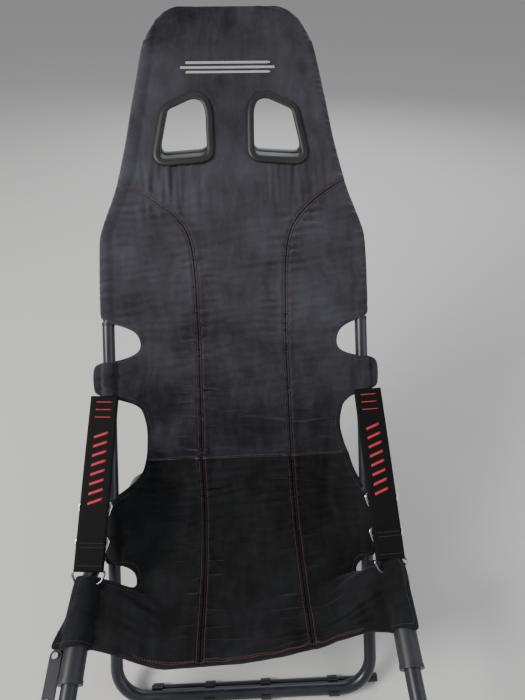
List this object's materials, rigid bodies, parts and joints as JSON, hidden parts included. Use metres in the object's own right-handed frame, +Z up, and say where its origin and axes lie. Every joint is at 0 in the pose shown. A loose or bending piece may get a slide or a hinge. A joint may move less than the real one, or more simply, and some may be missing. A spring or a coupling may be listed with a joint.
{
  "type": "folding racing seat",
  "caption": "Folding racing seat: a fabric sling on a scissor frame of bent tubes, held open by a webbing strap on each side.",
  "frame": {"origin": "on the floor, under the middle of the whole object", "axes": "+Z up, -Y the front of the seat, +X to the seat's left-hand side as seen from the front camera's right"},
  "size_m": [0.5742, 1.0111, 0.9853],
  "materials": {
    "tube": "satin black powder coat",
    "plastic": "matt moulded",
    "steel": "zinc plated",
    "chrome": "polished wire",
    "suede": "brushed microsuede",
    "webbing": "satin woven webbing"
  },
  "bodies": {
    "seat_frame": {"seat_frame_tube": "tube", "rear_floor_clips": "plastic", "pivot_bolts": "steel", "pivot_washers": "steel", "pivot_nuts": "steel", "arm_sleeves": "tube", "sleeve_collars": "plastic", "sleeve_bolts": "steel", "corner_hook_left": "tube", "corner_hook_right": "tube", "strap_loop_front_left": "chrome", "strap_loop_front_right": "chrome", "corner_flap_left": "suede", "corner_flap_right": "suede", "link_lug": "tube", "link_pin": "steel", "front_hem": "suede"},
    "back_frame": {"back_frame_lower_tube": "tube", "back_frame_upper_tube": "tube", "step_bushings": "plastic", "front_floor_clips": "plastic", "floor_rod": "tube", "floor_rod_cap": "plastic", "back_cover": "suede", "lumbar_panel": "suede", "side_tab_left": "suede", "side_tab_right": "suede", "mid_flap_left": "suede", "mid_flap_right": "suede", "seat_panel": "suede", "bezel_front_left": "plastic", "bezel_front_right": "plastic", "bezel_rear_left": "plastic", "bezel_rear_right": "plastic"},
    "arm_l": {"arm_left": "tube"},
    "arm_r": {"arm_right": "tube"},
    "link": {"link_bar": "tube", "link_bolt": "steel"},
    "strap_l": {"strap_left": "webbing"},
    "strap_r": {"strap_right": "webbing"},
    "loop_middle_l": {"strap_loop_middle_left": "chrome"},
    "loop_middle_r": {"strap_loop_middle_right": "chrome"},
    "loop_rear_l": {"strap_loop_rear_left": "chrome"},
    "loop_rear_r": {"strap_loop_rear_right": "chrome"}
  },
  "joints": [
    {"name": "fold", "type": "hinge", "parent": "seat_frame", "child": "back_frame", "pos_m": [0, -0.14552, 0.21341], "axis": [1, 0, 0], "range_deg": [0, 60], "deforming": ["seat_panel", "lumbar_panel", "mid_flap_left", "mid_flap_right", "strap_left", "strap_right"]},
    {"name": "arm_slide_left", "type": "slide", "parent": "seat_frame", "child": "arm_l", "axis": [0, -0.9866, -0.1633], "range_m": [0, 0.025]},
    {"name": "arm_slide_right", "type": "slide", "parent": "seat_frame", "child": "arm_r", "axis": [0, -0.9866, -0.1633], "range_m": [0, 0.025]},
    {"name": "link_swing", "type": "hinge", "parent": "seat_frame", "child": "link", "pos_m": [-0.284, -0.32176, 0.23613], "axis": [0, 0.1633, -0.9866], "range_deg": [0, 80]},
    {"name": "strap_swing_left", "type": "hinge", "parent": "seat_frame", "child": "strap_l", "pos_m": [-0.25011, -0.20896, 0.27763], "axis": [0.9984, -0.0566, 0], "range_deg": [0, 68.7]},
    {"name": "loop_middle_swing_left", "type": "hinge", "parent": "strap_l", "child": "loop_middle_l", "pos_m": [-0.24765, -0.1655, 0.30331], "axis": [-0.9984, 0.0566, 0], "range_deg": [-60, 0]},
    {"name": "loop_rear_swing_left", "type": "hinge", "parent": "strap_l", "child": "loop_rear_l", "pos_m": [-0.245, -0.11886, 0.33598], "axis": [-0.9984, 0.0566, 0], "range_deg": [-60, 0]},
    {"name": "strap_swing_right", "type": "hinge", "parent": "seat_frame", "child": "strap_r", "pos_m": [0.25011, -0.20896, 0.27763], "axis": [0.9984, 0.0566, 0], "range_deg": [0, 68.7]},
    {"name": "loop_middle_swing_right", "type": "hinge", "parent": "strap_r", "child": "loop_middle_r", "pos_m": [0.24765, -0.1655, 0.30331], "axis": [-0.9984, -0.0566, 0], "range_deg": [-60, 0]},
    {"name": "loop_rear_swing_right", "type": "hinge", "parent": "strap_r", "child": "loop_rear_r", "pos_m": [0.245, -0.11886, 0.33598], "axis": [-0.9984, -0.0566, 0], "range_deg": [-60, 0]}
  ],
  "couplings": [
    {"joint": "arm_slide_right", "follows": "arm_slide_left", "ratio": 1},
    {"joint": "strap_swing_left", "follows": "fold", "ratio": 1.145},
    {"joint": "strap_swing_right", "follows": "fold", "ratio": 1.145}
  ]
}
